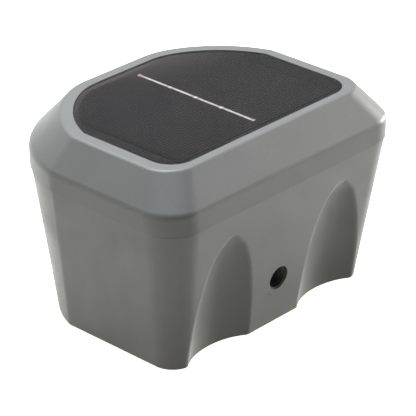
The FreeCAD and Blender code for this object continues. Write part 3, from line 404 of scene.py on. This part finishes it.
def soften(obj, width):
    """Break the sharp edges of a boxy part so that they catch the light."""
    weld = obj.modifiers.new("weld", "WELD")
    weld.merge_threshold = 0.000001
    bevel = obj.modifiers.new("edge", "BEVEL")
    bevel.width = width
    bevel.segments = 2
    bevel.limit_method = "ANGLE"
    bevel.angle_limit = math.radians(40)


def finish_cad_parts():
    """Give each part from the frame its material and, where it is boxy, softer edges."""
    slots = {part["node"]: part["material_slot"] for part in frame["record"]["subparts"]}
    for name, obj in NODES.items():
        obj.data.materials.clear()
        obj.data.materials.append(MATERIALS[slots[name]])
        if name in ROUNDED:
            soften(obj, ROUNDED[name] * MM)
    NODES["lead_sleeve"].data.materials[0] = ribbed_sleeve()


# ---- solar cell ribbon ---------------------------------------------------------------
def new_piece(name, mesh, body, slot):
    """Link a finished mesh as a piece that rides on a body."""
    obj = bpy.data.objects.new(name, mesh)
    bpy.context.scene.collection.objects.link(obj)
    obj.data.materials.append(MATERIALS[slot])
    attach(obj, body)
    return obj


def ribbon_tape():
    """The tinned ribbon, slightly wavy, wider and raised where it is soldered to the cell."""
    low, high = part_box("cell_ribbon")
    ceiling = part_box("panel_window")[0].z - 0.00001
    middle_x = (low.x + high.x) / 2
    half = (high.x - low.x) / 2
    steps = 220
    mesh = bmesh.new()
    rows = []
    for index in range(steps + 1):
        share = index / steps
        y = low.y + share * (high.y - low.y)
        nearest = min(abs(share - spot) for spot in SOLDER_SPOTS)
        blob = math.exp(-(nearest / 0.014) ** 2)
        sway = 0.12 * MM * noise.noise(Vector((0.0, y * 60.0, 3.0))) + ASKEW * (share - 0.6)
        ragged = 0.10 * noise.noise(Vector((7.0, y * 400.0, 1.0)))
        ripple = 0.05 * MM * noise.noise(Vector((5.0, y * 260.0, 0.0)))
        row = []
        for side in (-1.0, -0.5, 0.0, 0.5, 1.0):
            x = middle_x + sway + side * half * (0.82 + 0.32 * blob + ragged)
            crown = (0.04 + 0.10 * blob) * MM * math.cos(side * math.pi / 2)
            z = min(ceiling, low.z + 0.05 * MM + crown + ripple)
            row.append(mesh.verts.new((x, y, z)))
        rows.append(row)
    for before, after in zip(rows, rows[1:]):
        for a, b, c, d in zip(before, before[1:], after[1:], after):
            mesh.faces.new((a, b, c, d))
    data = bpy.data.meshes.new("ribbon_tape")
    mesh.to_mesh(data)
    data.shade_smooth()
    piece = new_piece("ribbon_tape", data, "lid", "ribbon_tin")
    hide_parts("cell_ribbon")


# ---- stage ---------------------------------------------------------------------------
FLOOR_HALF = 6.0
FLOOR_DROP = 0.0003


def floor():
    """A plain pale floor, just clear of the object's underside."""
    s = Shader("floor_white", roughness=0.9)
    s.set(Base_Color=s.blend(s.noise(3.0, 2.0), (0.86, 0.86, 0.86), (0.90, 0.90, 0.90)))
    s.set(Emission_Color=(1.0, 1.0, 0.9, 1.0), Emission_Strength=FLOOR_GLOW)
    half = FLOOR_HALF
    mesh = bpy.data.meshes.new("floor")
    corners = [(-half, -half, 0), (half, -half, 0), (half, half, 0), (-half, half, 0)]
    mesh.from_pydata(corners, [], [(0, 1, 2, 3)])
    obj = bpy.data.objects.new("floor", mesh)
    obj.data.materials.append(s.material)
    obj.location.z = -FLOOR_DROP
    # The floor shows, and glints in the case's edges, but throws no soft light up into the scoops.
    obj.visible_diffuse = False
    bpy.context.scene.collection.objects.link(obj)


def soft_light(name, azimuth, elevation, size, power, colour):
    """A square soft box that faces the object."""
    turn = math.radians(azimuth)
    rise = math.radians(elevation)
    level = LIGHT_DISTANCE * math.cos(rise)
    aim = Vector((0.0, 0.0, LIGHT_AIM))
    height = LIGHT_DISTANCE * math.sin(rise)
    offset = Vector((level * math.sin(turn), -level * math.cos(turn), height))
    data = bpy.data.lights.new(name, "AREA")
    data.shape = "SQUARE"
    data.size = size
    data.energy = power
    data.color = colour
    obj = bpy.data.objects.new(name, data)
    obj.location = aim + offset
    obj.rotation_euler = (-offset).to_track_quat("-Z", "Y").to_euler()
    obj.visible_glossy = name not in NO_GLINT
    bpy.context.scene.collection.objects.link(obj)


FLOOR_GLOW = 1.15
SKY = 0.40
LIGHT_DISTANCE = 1.9
LIGHT_AIM = 0.06

# Tints shared by the soft boxes.
NEUTRAL = (1.0, 1.0, 1.0)
COOL = (0.88, 0.96, 1.0)
WARM = (1.0, 0.98, 0.92)
ROSE = (1.0, 0.91, 0.94)
VIOLET = (0.87, 0.85, 1.0)

# Each soft box: degrees round from the front towards the right, degrees up, size, watts, tint.
# The low boxes on both sides graze the case, so the corner between them stays the darkest.
# Nothing stands where the window would mirror it into the camera.
LIGHTS = {
    "top_box": (180, 75, 0.8, 34, COOL),
    "right_low_box": (75, 2, 0.6, 50, WARM),
    "left_low_box": (270, 12, 1.0, 5, ROSE),
    "right_high_box": (90, 62, 0.8, 5, VIOLET),
    "back_box": (180, 45, 1.3, 7, ROSE),
    "back_right_box": (135, 64, 0.4, 13, NEUTRAL),
    "front_high_box": (0, 62, 0.8, 4, VIOLET),
}

# Seen low from the other side, the window would mirror this box and turn white.
NO_GLINT = ("left_low_box",)


def lighting():
    """An even white sky, and the soft boxes."""
    world = bpy.data.worlds.new("studio")
    bpy.context.scene.world = world
    world.use_nodes = True
    world.node_tree.nodes["Background"].inputs["Color"].default_value = (1.0, 1.0, 1.0, 1.0)
    world.node_tree.nodes["Background"].inputs["Strength"].default_value = SKY
    # The sky is what the window and the metal reflect; the light boxes do the modelling.
    world.cycles_visibility.diffuse = False
    for name, settings in LIGHTS.items():
        soft_light(name, *settings)
    bpy.context.scene.view_settings.view_transform = "Standard"


# The camera: degrees round from the front towards the right, degrees up, metres away, and the
# place it looks at, measured from the middle of the object.
AZIMUTH = math.radians(-47.11)
ELEVATION = math.radians(27.10)
DISTANCE = 1.2678
LOOK_AT = Vector((0.0154, 0.0028, -0.0155))
LENS = 203.2


def camera():
    """A long lens, high over the front left corner."""
    low, high = CAD_BOX
    middle = (Vector(low) + Vector(high)) / 2
    target = middle + LOOK_AT
    level = DISTANCE * math.cos(ELEVATION)
    data = bpy.data.cameras.new("camera")
    data.lens = LENS
    data.sensor_width = 36.0
    data.clip_end = 50.0
    obj = bpy.data.objects.new("camera", data)
    height = DISTANCE * math.sin(ELEVATION)
    offset = Vector((math.sin(AZIMUTH) * level, -math.cos(AZIMUTH) * level, height))
    obj.location = target + offset
    obj.rotation_euler = (-offset).to_track_quat("-Z", "Y").to_euler()
    bpy.context.scene.collection.objects.link(obj)
    bpy.context.scene.camera = obj


finish_cad_parts()
ribbon_tape()
floor()
lighting()
camera()
